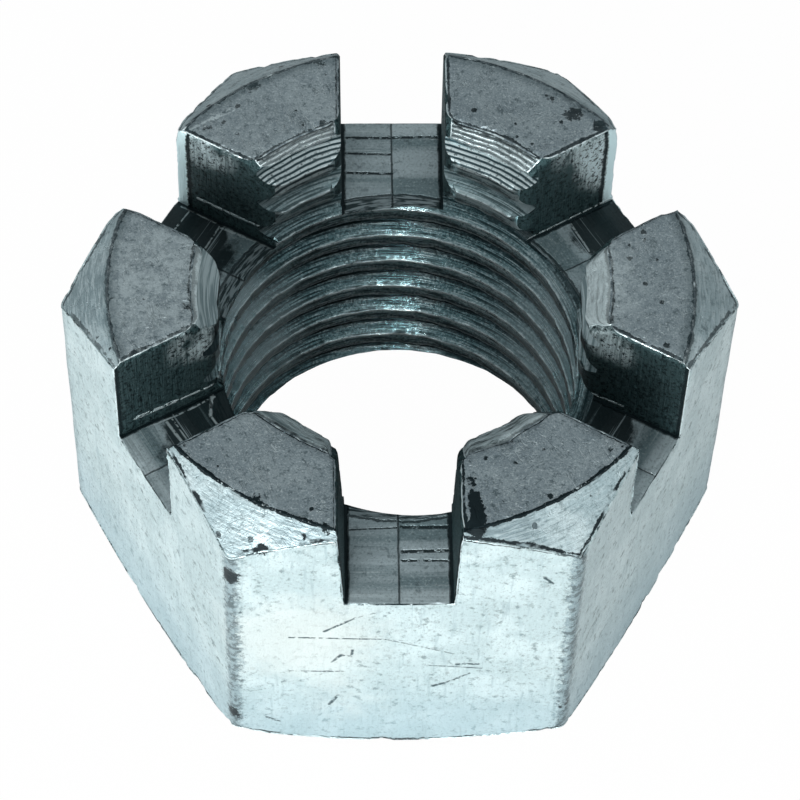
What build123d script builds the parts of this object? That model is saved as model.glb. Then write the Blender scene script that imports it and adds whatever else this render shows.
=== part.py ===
from build123d import *
from math import ceil, sqrt, tan, radians
import os

# Castle nut, thick hexagon pattern: one turned and slotted piece of steel bar, in millimetres.
# The origin is the centre of the bearing face, and +Z runs along the thread to the slotted end.
# One pair of flats faces -Y and +Y, so one pair of corners lies on the X axis.

# Hexagon bar
flat_count = 6
across_flats = 46.1
corner_radius = 0.8
height = 32.3

# Cotter pin slots, cut straight across the nut, each through two opposite flats
slot_width = 8.3
slot_depth = 9.95

# Thread, right-hand, 7 to the inch. Its depth is from the flat crests, the size that is drilled,
# to the narrow flats of its roots, and its start is the height of a root's middle on the +X side.
thread_major_diameter = 31.75
thread_pitch = 25.4 / 7
thread_depth = 1.675
thread_angle = 60
thread_start = 0.77

# Countersinks, each with its angle measured from the axis
countersink_oversize = 0.55
top_countersink_angle = 50
bottom_countersink_angle = 60

# Chamfers, each a cone that starts a little inside the flats and rises to the corners
top_chamfer_inset = 0.3
top_chamfer_angle = 40
bottom_chamfer_inset = 0.46
bottom_chamfer_angle = 30

# How far a cutter stands out of the metal
cutter_overrun = 1.0

inscribed_radius = across_flats / 2
bore_radius = thread_major_diameter / 2 - thread_depth
countersink_radius = (thread_major_diameter + countersink_oversize) / 2
top_countersink_depth = (countersink_radius - bore_radius) / tan(radians(top_countersink_angle))
bottom_countersink_depth = (countersink_radius - bore_radius) / tan(radians(bottom_countersink_angle))
turning_radius = across_flats / sqrt(3) + cutter_overrun
top_face_radius = inscribed_radius - top_chamfer_inset
bottom_face_radius = inscribed_radius - bottom_chamfer_inset
slot_floor = height - slot_depth
root_width = thread_pitch / 8
flank_slope = tan(radians(thread_angle / 2))
crest_width = thread_pitch - root_width - 2 * thread_depth * flank_slope


def hexagon_bar():
    """The bar that the nut is cut from, with its corners slightly rounded as rolled."""
    section = RegularPolygon(inscribed_radius, flat_count, major_radius=False)
    return extrude(fillet(section.vertices(), corner_radius), height)


def turned_form():
    """Everything that is turned: both end faces, both chamfers, the bore and its countersinks."""
    top_drop = (turning_radius - top_face_radius) * tan(radians(top_chamfer_angle))
    bottom_rise = (turning_radius - bottom_face_radius) * tan(radians(bottom_chamfer_angle))
    section = Polyline(
        (bore_radius, bottom_countersink_depth),
        (countersink_radius, 0),
        (bottom_face_radius, 0),
        (turning_radius, bottom_rise),
        (turning_radius, height - top_drop),
        (top_face_radius, height),
        (countersink_radius, height),
        (bore_radius, height - top_countersink_depth),
        close=True,
    )
    return revolve(Plane.XZ * make_face(section), Axis.Z)


def slot_cutter():
    """One pass of the slotting cutter along Y, from flat to flat."""
    cutter = Box(
        slot_width,
        2 * turning_radius,
        slot_depth + cutter_overrun,
        align=(Align.CENTER, Align.CENTER, Align.MIN),
    )
    return Pos(0, 0, slot_floor) * cutter


def thread_groove():
    """The helical groove between the thread's crests, turn by turn, from below the nut to above it."""
    # The flanks run on into the bore until they have closed on the next turn by half a crest
    inner_radius = bore_radius - crest_width / 4 / flank_slope
    inner_width = thread_pitch - crest_width / 2
    section = Polyline(
        (inner_radius, -inner_width / 2),
        (thread_major_diameter / 2, -root_width / 2),
        (thread_major_diameter / 2, root_width / 2),
        (inner_radius, inner_width / 2),
        close=True,
    )
    helix = Helix(thread_pitch, thread_pitch, bore_radius)
    one_turn = sweep(Plane.XZ * make_face(section), path=helix, is_frenet=True)
    first_turn = thread_start - 2 * thread_pitch
    turn_count = ceil((height - first_turn) / thread_pitch) + 1
    return [Pos(0, 0, first_turn + turn * thread_pitch) * one_turn for turn in range(turn_count)]


def castle_nut():
    """The finished nut, with a slot through the middle of every flat."""
    nut = (hexagon_bar() & turned_form()) - thread_groove()
    for pass_number in range(flat_count // 2):
        nut -= Rot(0, 0, pass_number * 360 / flat_count) * slot_cutter()
    return nut


os.makedirs("parts", exist_ok=True)
export_step(castle_nut(), "parts/castle_nut.step")
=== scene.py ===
"""A castle nut in zinc plated steel, with its thread, cutter marks and wear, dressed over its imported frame."""

import math
from types import SimpleNamespace

import bmesh
import bpy
import numpy as np
from mathutils import Matrix, Vector, noise


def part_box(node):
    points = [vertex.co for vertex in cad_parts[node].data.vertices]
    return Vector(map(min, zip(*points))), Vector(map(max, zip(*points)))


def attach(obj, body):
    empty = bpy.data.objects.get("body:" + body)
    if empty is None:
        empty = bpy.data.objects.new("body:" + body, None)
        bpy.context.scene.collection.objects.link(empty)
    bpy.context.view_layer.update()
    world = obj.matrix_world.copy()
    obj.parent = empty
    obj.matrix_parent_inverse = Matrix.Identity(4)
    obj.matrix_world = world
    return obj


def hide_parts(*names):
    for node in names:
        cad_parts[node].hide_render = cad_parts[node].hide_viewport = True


bl_info = {
    "name": "Castle nut",
    "version": (1, 0, 0),
    "blender": (4, 5, 0),
    "location": "View3D > Sidebar > Castle nut",
    "description": "Builds a slotted hexagon nut with a cut thread, worn edges and zinc plating",
    "category": "Add Mesh",
}

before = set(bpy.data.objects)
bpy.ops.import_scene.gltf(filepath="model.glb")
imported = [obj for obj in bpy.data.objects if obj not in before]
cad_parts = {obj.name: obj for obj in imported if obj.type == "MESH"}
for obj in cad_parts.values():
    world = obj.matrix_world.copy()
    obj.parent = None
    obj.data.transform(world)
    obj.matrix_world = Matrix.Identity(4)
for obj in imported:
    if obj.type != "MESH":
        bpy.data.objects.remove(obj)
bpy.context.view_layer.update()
CAD_LOW, CAD_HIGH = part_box("castle_nut")
MM = 0.001

# Steps around a full circle in everything that is turned or drilled
ROUND_STEPS = 216
# Parts of the surface, in the order of the nut's material slots
ZONES = ("end_face", "chamfer", "flat", "slot_wall", "slot_floor", "thread", "countersink", "edge")
END_FACE, CHAMFER, FLAT, SLOT_WALL, SLOT_FLOOR, THREAD, COUNTERSINK, EDGE = range(len(ZONES))
# Longest edge of a face in each zone before wear is applied, in millimetres
FACE_SIZES = (0.75, 0.7, 1.2, 0.6, 0.6, 0.7, 0.5, 0.5)
# Each slot's turn about the axis, and how far it was cut off centre, in millimetres
SLOTS = ((0.0, -0.3), (math.pi / 3, -0.08), (2 * math.pi / 3, 0.12))
# Slot walls that lean outwards: slot, side, end and lean at the top in millimetres
LEANS = ((0, -1, -1, 0.62), (0, 1, -1, 0.2), (0, -1, 1, 0.15), (0, 1, 1, -0.1), (2, -1, -1, 0.45))


class NutShape(bpy.types.PropertyGroup):
    """Sizes of the nut"""

    across_flats: bpy.props.FloatProperty(
        name="Across flats", description="Width between two opposite flats",
        default=CAD_HIGH.y - CAD_LOW.y, unit="LENGTH")
    height: bpy.props.FloatProperty(
        name="Height", description="From the bearing face to the top of the lugs",
        default=CAD_HIGH.z, unit="LENGTH")
    corner_radius: bpy.props.FloatProperty(
        name="Corner radius", description="Rounding of the hexagon's upright corners",
        default=0.0008, unit="LENGTH")
    slot_width: bpy.props.FloatProperty(
        name="Slot width", description="Width of the cotter pin slots", default=0.0083, unit="LENGTH")
    slot_depth: bpy.props.FloatProperty(
        name="Slot depth", description="Depth of the slots below the top", default=0.00995, unit="LENGTH")
    bore_diameter: bpy.props.FloatProperty(
        name="Bore", description="Diameter over the thread's crests", default=0.0284, unit="LENGTH")
    thread_diameter: bpy.props.FloatProperty(
        name="Thread diameter", description="Diameter over the thread's roots", default=0.03175, unit="LENGTH")
    thread_pitch: bpy.props.FloatProperty(
        name="Thread pitch", description="Rise of the right-hand thread in one turn",
        default=0.0254 / 7, unit="LENGTH")
    thread_angle: bpy.props.FloatProperty(
        name="Thread angle", description="Angle between the thread's flanks",
        default=math.radians(60), subtype="ANGLE")
    thread_start: bpy.props.FloatProperty(
        name="Thread start", description="Height of a root's middle on the +X side", default=0.00077, unit="LENGTH")
    countersink_diameter: bpy.props.FloatProperty(
        name="Countersink", description="Diameter of both countersinks at their mouths",
        default=0.0323, unit="LENGTH")
    top_countersink_depth: bpy.props.FloatProperty(
        name="Top countersink depth", description="Depth of the countersink between the lugs",
        default=0.001636, unit="LENGTH")
    bottom_countersink_depth: bpy.props.FloatProperty(
        name="Bottom countersink depth", description="Depth of the countersink in the bearing face",
        default=0.001126, unit="LENGTH")
    top_face_diameter: bpy.props.FloatProperty(
        name="Top face", description="Diameter at which the upper chamfer starts",
        default=0.0455, unit="LENGTH")
    bottom_face_diameter: bpy.props.FloatProperty(
        name="Bearing face", description="Diameter at which the lower chamfer starts",
        default=0.04518, unit="LENGTH")
    top_chamfer_angle: bpy.props.FloatProperty(
        name="Top chamfer angle", description="Slope of the upper chamfer from the end face",
        default=math.radians(40), subtype="ANGLE")
    bottom_chamfer_angle: bpy.props.FloatProperty(
        name="Bottom chamfer angle", description="Slope of the lower chamfer from the end face",
        default=math.radians(30), subtype="ANGLE")


class NutWear(bpy.types.PropertyGroup):
    """How the edges and faces are worn"""

    edge_width: bpy.props.FloatProperty(
        name="Edge rounding", description="Width of the worn strip along each edge",
        default=0.00012, unit="LENGTH")
    edge_nicks: bpy.props.FloatProperty(
        name="Edge nicks", description="Depth of the nicks along the edges", default=0.00016, unit="LENGTH")
    crest_wear: bpy.props.FloatProperty(
        name="Crest wear", description="How far the thread's crests are torn", default=0.00012, unit="LENGTH")
    corner_rounding: bpy.props.FloatProperty(
        name="Lug corner rounding", description="Radius of the lugs' corners at the countersink",
        default=0.0013, unit="LENGTH")
    rim_rounding: bpy.props.FloatProperty(
        name="Lug rim rounding", description="Radius of the lugs' top edges at the slots and the bore",
        default=0.0005, unit="LENGTH")
    end_rounding: bpy.props.FloatProperty(
        name="Slot end rounding", description="Radius of the lugs' upright edges at the flats",
        default=0.0006, unit="LENGTH")
    seed: bpy.props.IntProperty(name="Seed", description="Changes the pattern of the wear", default=4)


def in_mm(shape):
    """The shape's lengths in millimetres, in which the nut is modelled."""
    size = SimpleNamespace()
    for name in NutShape.__annotations__:
        value = getattr(shape, name)
        setattr(size, name, value if name.endswith("angle") else value / MM)
    size.bore_radius = size.bore_diameter / 2
    size.thread_radius = size.thread_diameter / 2
    size.mouth_radius = size.countersink_diameter / 2
    size.top_radius = size.top_face_diameter / 2
    size.bottom_radius = size.bottom_face_diameter / 2
    size.flat_reach = size.across_flats / 2
    pilot_allowance = 3
    size.pilot_radius = size.bore_radius - pilot_allowance
    size.flank_slope = math.tan(size.thread_angle / 2)
    size.root_width = size.thread_pitch / 8
    flanks = 2 * size.flank_slope * (size.thread_radius - size.bore_radius)
    size.crest_width = size.thread_pitch - size.root_width - flanks
    size.slot_floor = size.height - size.slot_depth
    size.overrun = 2.0
    size.turning_radius = size.across_flats / math.sqrt(3) + size.overrun
    return size


def helper_object(name, bm, materials):
    """A bmesh as an object that has the nut's material slots."""
    bmesh.ops.recalc_face_normals(bm, faces=bm.faces[:])
    mesh = bpy.data.meshes.new(name)
    bm.to_mesh(mesh)
    bm.free()
    for material in materials:
        mesh.materials.append(material)
    made = bpy.data.objects.new(name, mesh)
    bpy.context.scene.collection.objects.link(made)
    return made


def mark_all(bm, zone):
    """Gives every face the material of one zone."""
    for face in bm.faces:
        face.material_index = zone


def verts_of(geometry):
    """The vertices among the parts that an operator returned."""
    return [part for part in geometry if isinstance(part, bmesh.types.BMVert)]


def closed_outline(bm, places):
    """The vertices of an outline in the XZ plane, given as radius and height, and the edges that close it."""
    corners = [bm.verts.new((radius, 0, z)) for radius, z in places]
    return corners, [bm.edges.new(pair) for pair in zip(corners, corners[1:] + corners[:1])]


def hexagon_bar(size):
    """The bar that the nut is cut from."""
    half_side = math.radians(30)
    bm = bmesh.new()
    bmesh.ops.create_circle(bm, cap_ends=True, segments=6, radius=size.across_flats / math.sqrt(3))
    bmesh.ops.rotate(bm, verts=bm.verts[:], matrix=Matrix.Rotation(half_side, 3, "Z"))
    bmesh.ops.translate(bm, verts=bm.verts[:], vec=(0, 0, -size.overrun))
    raised = bmesh.ops.extrude_face_region(bm, geom=bm.faces[:])["geom"]
    bmesh.ops.translate(bm, verts=verts_of(raised), vec=(0, 0, size.height + 2 * size.overrun))
    upright = [e for e in bm.edges if abs(e.verts[0].co.z - e.verts[1].co.z) > size.overrun]
    bmesh.ops.bevel(bm, geom=upright, offset=size.corner_radius * math.tan(half_side), offset_type="OFFSET",
                    segments=5, profile=0.5, affect="EDGES", material=-1)
    mark_all(bm, FLAT)
    return bm


def turned_form(size):
    """Everything that is turned: end faces, chamfers and countersinks, round a narrow pilot hole."""
    top_drop = (size.turning_radius - size.top_radius) * math.tan(size.top_chamfer_angle)
    bottom_rise = (size.turning_radius - size.bottom_radius) * math.tan(size.bottom_chamfer_angle)
    outline = (
        (size.pilot_radius, size.bottom_countersink_depth, COUNTERSINK),
        (size.bore_radius, size.bottom_countersink_depth, COUNTERSINK),
        (size.mouth_radius, 0, END_FACE),
        (size.bottom_radius, 0, CHAMFER),
        (size.turning_radius, bottom_rise, FLAT),
        (size.turning_radius, size.height - top_drop, CHAMFER),
        (size.top_radius, size.height, END_FACE),
        (size.mouth_radius, size.height, COUNTERSINK),
        (size.bore_radius, size.height - size.top_countersink_depth, COUNTERSINK),
        (size.pilot_radius, size.height - size.top_countersink_depth, THREAD),
    )
    bm = bmesh.new()
    corners, edges = closed_outline(bm, [(radius, z) for radius, z, _ in outline])
    bmesh.ops.spin(bm, geom=corners + edges, cent=(0, 0, 0), axis=(0, 0, 1), angle=math.tau,
                   steps=ROUND_STEPS, use_merge=True, use_duplicate=False)
    near = 0.02
    for face in bm.faces:
        middle = face.calc_center_median()
        radius = math.hypot(middle.x, middle.y)
        for (start_radius, start_z, zone), (end_radius, end_z, _) in zip(outline, outline[1:] + outline[:1]):
            if (abs(radius - (start_radius + end_radius) / 2) < near
                    and abs(middle.z - (start_z + end_z) / 2) < near):
                face.material_index = zone
    return bm


def slot_cutter(size, turn, shift):
    """One pass of the slotting cutter, from flat to flat."""
    bm = bmesh.new()
    bmesh.ops.create_cube(bm, size=1)
    tall = size.slot_depth + size.overrun
    bmesh.ops.scale(bm, verts=bm.verts[:], vec=(size.slot_width, 2 * size.turning_radius, tall))
    bmesh.ops.translate(bm, verts=bm.verts[:], vec=(shift, 0, size.slot_floor + tall / 2))
    bmesh.ops.rotate(bm, verts=bm.verts[:], matrix=Matrix.Rotation(turn, 3, "Z"))
    for face in bm.faces:
        face.material_index = SLOT_FLOOR if face.normal.z < -0.9 else SLOT_WALL
    return bm


def thread_cutter(size):
    """The helical groove between the thread's crests, as a solid that runs past both end faces."""
    inner_radius = size.bore_radius - size.crest_width / 4 / size.flank_slope
    inner_width = size.thread_pitch - size.crest_width / 2
    middle_radius, middle_width = (inner_radius + size.thread_radius) / 2, (inner_width + size.root_width) / 2
    upper_half = [(size.thread_radius, size.root_width / 2), (middle_radius, middle_width / 2),
                  (inner_radius, inner_width / 2)]
    outline = [(radius, -z) for radius, z in reversed(upper_half)] + upper_half
    steps_per_turn = 120
    first_turn = size.thread_start - 2 * size.thread_pitch
    turns = math.ceil((size.height - first_turn) / size.thread_pitch) + 1
    bm = bmesh.new()
    start, edges = closed_outline(bm, [(radius, first_turn + z) for radius, z in outline])
    last = bmesh.ops.spin(bm, geom=start + edges, cent=(0, 0, 0), axis=(0, 0, 1),
                          dvec=(0, 0, size.thread_pitch / steps_per_turn), angle=math.tau * turns,
                          steps=steps_per_turn * turns, use_merge=False, use_duplicate=False)
    for ring in (start, verts_of(last["geom_last"])):
        bmesh.ops.contextual_create(bm, geom=ring)
    mark_all(bm, THREAD)
    return bm


def bore_cutter(size):
    """The drilled hole, which leaves the thread's flat crests, turned so that no corners of the two coincide."""
    off_corners = math.radians(0.4)
    bm = bmesh.new()
    bmesh.ops.create_cone(bm, cap_ends=True, segments=ROUND_STEPS, radius1=size.bore_radius,
                          radius2=size.bore_radius, depth=size.height + 2 * size.overrun)
    bmesh.ops.translate(bm, verts=bm.verts[:], vec=(0, 0, size.height / 2))
    bmesh.ops.rotate(bm, verts=bm.verts[:], matrix=Matrix.Rotation(off_corners, 3, "Z"))
    mark_all(bm, THREAD)
    return bm


def cut(body, cutters):
    """The body after Boolean modifiers with each cutter, as a new bmesh. The helpers are removed."""
    for cutter, operation in cutters:
        step = body.modifiers.new(cutter.name, "BOOLEAN")
        step.operation, step.solver, step.object = operation, "EXACT", cutter
        step.material_mode = "INDEX"
    depsgraph = bpy.context.evaluated_depsgraph_get()
    mesh = bpy.data.meshes.new_from_object(body.evaluated_get(depsgraph))
    bm = bmesh.new()
    bm.from_mesh(mesh)
    bpy.data.meshes.remove(mesh)
    for helper in [body] + [cutter for cutter, _ in cutters]:
        leftover = helper.data
        bpy.data.objects.remove(helper)
        bpy.data.meshes.remove(leftover)
    if not bm.faces:
        raise RuntimeError("the Boolean left nothing of the nut")
    return bm


def soften_edges(bm, width):
    """Breaks the outer edges, apart from the thread's, by a narrow rounding."""
    bluntest = math.radians(24)
    sharp = [e for e in bm.edges if e.is_convex and e.calc_face_angle() > bluntest
             and all(face.material_index != THREAD for face in e.link_faces)]
    bmesh.ops.bevel(bm, geom=sharp, offset=width, offset_type="OFFSET", segments=3, profile=0.5,
                    affect="EDGES", material=EDGE, clamp_overlap=False)


def grid_cut(bm, size, spacing):
    """Splits the broad faces by planes, so that no long sliver is left in them."""
    faces = [f for f in bm.faces if f.material_index != THREAD]
    geometry = list(dict.fromkeys(part for f in faces for part in (*f.verts, *f.edges, f)))
    past_corners, past_flats, off_edges, snap = 27, 23.1, 0.37, 0.03
    for axis, low, high in (((1, 0, 0), -past_corners, past_corners), ((0, 1, 0), -past_flats, past_flats),
                            ((0, 0, 1), 0, size.height)):
        for place in np.arange(low + off_edges, high, spacing):
            geometry = bmesh.ops.bisect_plane(bm, geom=geometry, dist=snap, plane_co=Vector(axis) * place,
                                              plane_no=axis)["geom"]


def dice(bm):
    """Splits long edges until wear can move the surface."""
    bmesh.ops.triangulate(bm, faces=bm.faces[:], quad_method="BEAUTY", ngon_method="BEAUTY")
    most_rounds = 6
    for _ in range(most_rounds):
        long_edges = [edge for edge in bm.edges
                      if edge.calc_length() > min(FACE_SIZES[face.material_index] for face in edge.link_faces)]
        if not long_edges:
            break
        bmesh.ops.subdivide_edges(bm, edges=long_edges, cuts=1)
        bmesh.ops.triangulate(bm, faces=[f for f in bm.faces if len(f.verts) > 3],
                              quad_method="SHORT_EDGE", ngon_method="BEAUTY")


def build_nut_mesh(shape, wear, materials):
    """The worn nut as one closed mesh in metres, with the attributes that its materials read."""
    size = in_mm(shape)
    weld_distance, in_one_plane, grid_spacing, sharp_crease = 0.02, math.radians(0.05), 1.5, math.radians(30)
    bar = helper_object("bar", hexagon_bar(size), materials)
    cutters = [(helper_object("turned", turned_form(size), materials), "INTERSECT")]
    removed = [("slot", slot_cutter(size, turn, shift)) for turn, shift in SLOTS]
    removed += [("groove", thread_cutter(size)), ("bore", bore_cutter(size))]
    cutters += [(helper_object(name, form, materials), "DIFFERENCE") for name, form in removed]
    bm = cut(bar, cutters)
    bmesh.ops.remove_doubles(bm, verts=bm.verts[:], dist=weld_distance)
    bmesh.ops.dissolve_limit(bm, angle_limit=in_one_plane, verts=bm.verts[:], edges=bm.edges[:],
                             delimit={"MATERIAL"})
    soften_edges(bm, wear.edge_width / MM)
    grid_cut(bm, size, grid_spacing)
    dice(bm)
    mesh = bpy.data.meshes.new("nut_body")
    bm.to_mesh(mesh)
    bm.free()
    for material in materials:
        mesh.materials.append(material)
    place_marks(mesh, size)
    wear_down(mesh, size, wear)
    mesh.transform(Matrix.Scale(MM, 4))
    for polygon in mesh.polygons:
        polygon.use_smooth = True
    mesh.set_sharp_from_angle(angle=sharp_crease)
    return mesh


def slot_places(flat):
    """For each place: the nearest slot, the distances across and along it, and the way across it."""
    turns, shifts = np.array(SLOTS).T
    ways = np.stack([np.cos(turns), np.sin(turns)], 1)
    across = ways @ flat.T - shifts[:, None]
    along = np.stack([-np.sin(turns), np.cos(turns)], 1) @ flat.T
    nearest = np.abs(across).argmin(0)
    rows = np.arange(len(flat))
    return nearest, across[nearest, rows], along[nearest, rows], ways[nearest]


def reach_to_flats(flat):
    """How far out each place lies towards the three pairs of flats, smallest first, and the way to the nearest."""
    turns = np.array(SLOTS)[:, 0]
    ways = np.stack([-np.sin(turns), np.cos(turns)], 1)
    reach = ways @ flat.T
    nearest, rows = np.abs(reach).argmax(0), np.arange(len(flat))
    return np.sort(np.abs(reach), axis=0), ways[nearest] * np.sign(reach[nearest, rows])[:, None]


def rounding(first, second, reach):
    """How far to move into each of two faces, so that the edge between them becomes round."""
    nothing, beyond = 1e-6, 0.4
    gap = np.stack([first - reach, second - reach])
    away = np.maximum(np.hypot(*gap), nothing)
    pull = np.where((gap.max(0) < 0) & (gap.min(0) > -reach - beyond) & (away > reach), reach / away - 1, 0)
    return gap * pull


def patches(place, spots):
    """How strongly each place lies in round spots, given as x, y, z, radius and strength."""
    total = np.zeros(len(place))
    for x, y, z, radius, strength in spots:
        away = np.linalg.norm(place - (x, y, z), axis=1) / radius
        total += strength * np.clip(1 - away ** 2, 0, 1)
    return total


def rows_of(values, name):
    """Three numbers for each item of a collection, one row each."""
    rows = np.empty(len(values) * 3)
    values.foreach_get(name, rows)
    return rows.reshape(-1, 3)


def place_marks(mesh, size):
    """Distances from the edges, in millimetres, and the patches of dirt, as attributes for the materials."""
    place = rows_of(mesh.vertices, "co")
    flat, z = place[:, :2], place[:, 2]
    radius = np.hypot(flat[:, 0], flat[:, 1])
    _, across, along, _ = slot_places(flat)
    side, _ = reach_to_flats(flat)
    marks = {
        "arc": radius - size.top_radius,
        "mouth": radius - size.mouth_radius,
        "depth": radius - size.bore_radius,
        "slot": np.abs(across) - size.slot_width / 2,
        "floor": z - size.slot_floor,
        "across": across,
        "along": np.abs(along),
        "hyperbola": size.flat_reach - side[2],
        "corner": size.flat_reach - side[1],
        "upper": size.height - (radius - size.top_radius) * math.tan(size.top_chamfer_angle) - z,
        "lower": z - (radius - size.bottom_radius) * math.tan(size.bottom_chamfer_angle),
        "grime": patches(place, GRIME),
        "painted_light": patches(place, PAINTED_LIGHT),
        "dull": patches(place, SHADED_CHAMFER_PATCHES),
        "scraped": patches(place, LIT_WALL_PATCHES),
        "floor_shade": patches(place, FLOOR_SHADE_PATCHES),
    }
    for name, values in marks.items():
        mesh.attributes.new(name, "FLOAT", "POINT").data.foreach_set("value", values.astype(np.float32))


def ripple(place, scale, seed):
    """Smooth noise from -1 to 1 at each place; scale is the size of its lumps in millimetres."""
    shift = Vector((seed * 17.3, seed * 5.1, seed * 9.7))
    return np.array([noise.noise(Vector(p) + shift) for p in place / scale])


def drawn_out(at, around, upwards):
    """Places stretched for noise that is longer around the axis or along it."""
    return np.stack([at.outward[:, 0] * around, at.outward[:, 1] * around, at.z * upwards], 1)


def unevenness(at, wear):
    """How far each place lies below the clean surface: rolled and turned faces, and the nicks of the edges."""
    inward = np.zeros(len(at.place))
    for skin, broad_depth, lump_depth in ((at.zone[FLAT] | at.zone[CHAMFER], 0.05, 0.02),
                                          (at.zone[END_FACE], 0.02, 0.012)):
        inward += np.where(skin, broad_depth * (1 - at.broad) + lump_depth * (1 - at.lumps), 0)
    scraped = 0.08 * np.clip(at.lumps + 0.2, 0, 1) + 0.05 * np.clip(at.fine, 0, 1)
    inward += np.where(at.zone[COUNTERSINK], scraped, 0)
    nicks = np.clip(0.75 * at.lumps + 0.5 * at.fine - 0.05, 0, 1)
    inward += np.where(at.zone[EDGE], 0.02 + wear.edge_nicks / MM * nicks * 1.6, 0)
    return inward


def tear_thread(at, moved, size, wear):
    """Tears the crests outwards in streaks, and makes the flanks uneven."""
    tear_reach, flank_start, flank_swell = 0.25, 0.2, 0.03
    crest = np.clip(1 - (at.radius - size.bore_radius) / tear_reach, 0, 1) * at.zone[THREAD]
    streak = ripple(drawn_out(at, 14, 1.2), 1.3, wear.seed + 3)
    tear = wear.crest_wear / MM * crest
    moved[:, :2] += at.outward * (tear * np.clip(streak + 0.5 * at.fine + 0.3, 0, 1.2))[:, None]
    moved[:, 2] += tear * 0.3 * ripple(at.place, 0.7, wear.seed + 4)
    flank = at.zone[THREAD] & (at.radius > size.bore_radius + flank_start)
    moved[:, 2] += np.where(flank, flank_swell * ripple(drawn_out(at, 9, 3), 1, wear.seed + 5), 0)


def step_floors(at, moved, size):
    """Leaves a step between the cutter's two passes along each slot, and its chatter."""
    half_step, chatter_depth, chatter_pace, rim = 0.035, 0.02, 2.3, 0.3
    level = 0.05
    floor = at.zone[SLOT_FLOOR] & (np.abs(at.z - size.slot_floor) < level)
    pass_side = np.where(at.across * np.sign(at.along) > 0, 1, -1)
    chatter = np.sin(np.abs(at.along) * chatter_pace + pass_side * 1.7 + at.nearest) * chatter_depth
    within = np.abs(at.across) < size.slot_width / 2 - rim
    moved[:, 2] += np.where(floor & within, half_step * pass_side + chatter, 0)


def round_lugs(at, moved, size, wear):
    """Rubs the lugs' edges round, at the slots, at the bore and at the flats."""
    below_top = size.height - at.z
    sink = size.mouth_radius - below_top * (size.mouth_radius - size.bore_radius) / size.top_countersink_depth
    from_sink = at.radius - np.maximum(sink, size.bore_radius)
    from_slot, into_lug = at.from_slot, at.into_lug
    above_floor, into_slot = 0.5, 0.3
    lug = (at.z > size.slot_floor + above_floor) & (from_slot > -into_slot)
    for first, second, width in ((from_slot, from_sink, wear.corner_rounding / MM),
                                 (from_slot, below_top, wear.rim_rounding / MM),
                                 (from_sink, below_top, wear.rim_rounding / MM)):
        steps = rounding(first, second, width) * lug
        for step, depth in zip(steps, (first, second)):
            if depth is from_slot:
                moved[:, :2] += into_lug * step[:, None]
            elif depth is from_sink:
                moved[:, :2] += at.outward * step[:, None]
            else:
                moved[:, 2] -= step
    side, to_flat = reach_to_flats(at.flat)
    from_flat = size.flat_reach - side[2]
    # The lugs' upright edges are rounder at the sides and the back than at the front
    worn = wear.end_rounding / MM * np.interp(at.flat[:, 1], (0, 4, 10, 14), (0.6, 1.4, 1.4, 0.8))
    steps = rounding(from_slot, from_flat, worn) * lug
    moved[:, :2] += into_lug * steps[0][:, None] - to_flat * steps[1][:, None]


def lean_walls(at, moved, size):
    """Leans single slot walls outwards, more towards the top."""
    lean_reach = 3.5
    share = np.clip((at.z - size.slot_floor) / size.slot_depth, 0, 1)
    share *= np.clip(1 - np.abs(at.from_slot) / lean_reach, 0, 1)
    for slot, side, end, lean in LEANS:
        wall = (at.nearest == slot) & (np.sign(at.across) == side) & (np.sign(at.along) == end)
        moved[:, :2] += at.into_lug * (lean * wall * share)[:, None]


def knock_dents(at, moved):
    """Pushes each dent in one way, the mean of the normals that it touches."""
    nothing = 1e-9
    for *middle, radius, depth in DENTS:
        away = np.linalg.norm(at.place - middle, axis=1) / radius
        push = depth * np.clip(1 - away ** 2, 0, 1) ** 1.5 * (0.9 + 0.35 * at.fine)
        way = push @ at.normal
        moved -= way / max(np.linalg.norm(way), nothing) * push[:, None]


def wear_down(mesh, size, wear):
    """Moves the surface inwards: uneven faces, nicked edges, a torn thread, cutter steps and dents."""
    at = SimpleNamespace(place=rows_of(mesh.vertices, "co"), normal=rows_of(mesh.vertex_normals, "vector"))
    at.zone = np.zeros((len(ZONES), len(at.place)), bool)
    for polygon in mesh.polygons:
        at.zone[polygon.material_index, list(polygon.vertices)] = True
    at.flat, at.z = at.place[:, :2], at.place[:, 2]
    at.radius = np.hypot(at.flat[:, 0], at.flat[:, 1])
    at.outward = at.flat / np.maximum(at.radius, 1)[:, None]
    at.broad = ripple(at.place, 5.0, wear.seed)
    at.lumps = ripple(at.place, 1.6, wear.seed + 1)
    at.fine = ripple(at.place, 0.55, wear.seed + 2)
    at.nearest, at.across, at.along, way_across = slot_places(at.flat)
    at.from_slot = np.abs(at.across) - size.slot_width / 2
    at.into_lug = way_across * np.sign(at.across)[:, None]

    moved = at.place - at.normal * unevenness(at, wear)[:, None]
    tear_thread(at, moved, size, wear)
    step_floors(at, moved, size)
    round_lugs(at, moved, size, wear)
    lean_walls(at, moved, size)
    knock_dents(at, moved)
    # Nothing may stand out of the clean nut's box
    within = 0.001
    reach_x, reach_y = size.turning_radius - size.overrun, size.flat_reach - within
    moved = np.clip(moved, (-reach_x, -reach_y, 0), (reach_x, reach_y, size.height))
    mesh.vertices.foreach_set("co", moved.ravel())
    mesh.update()


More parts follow.
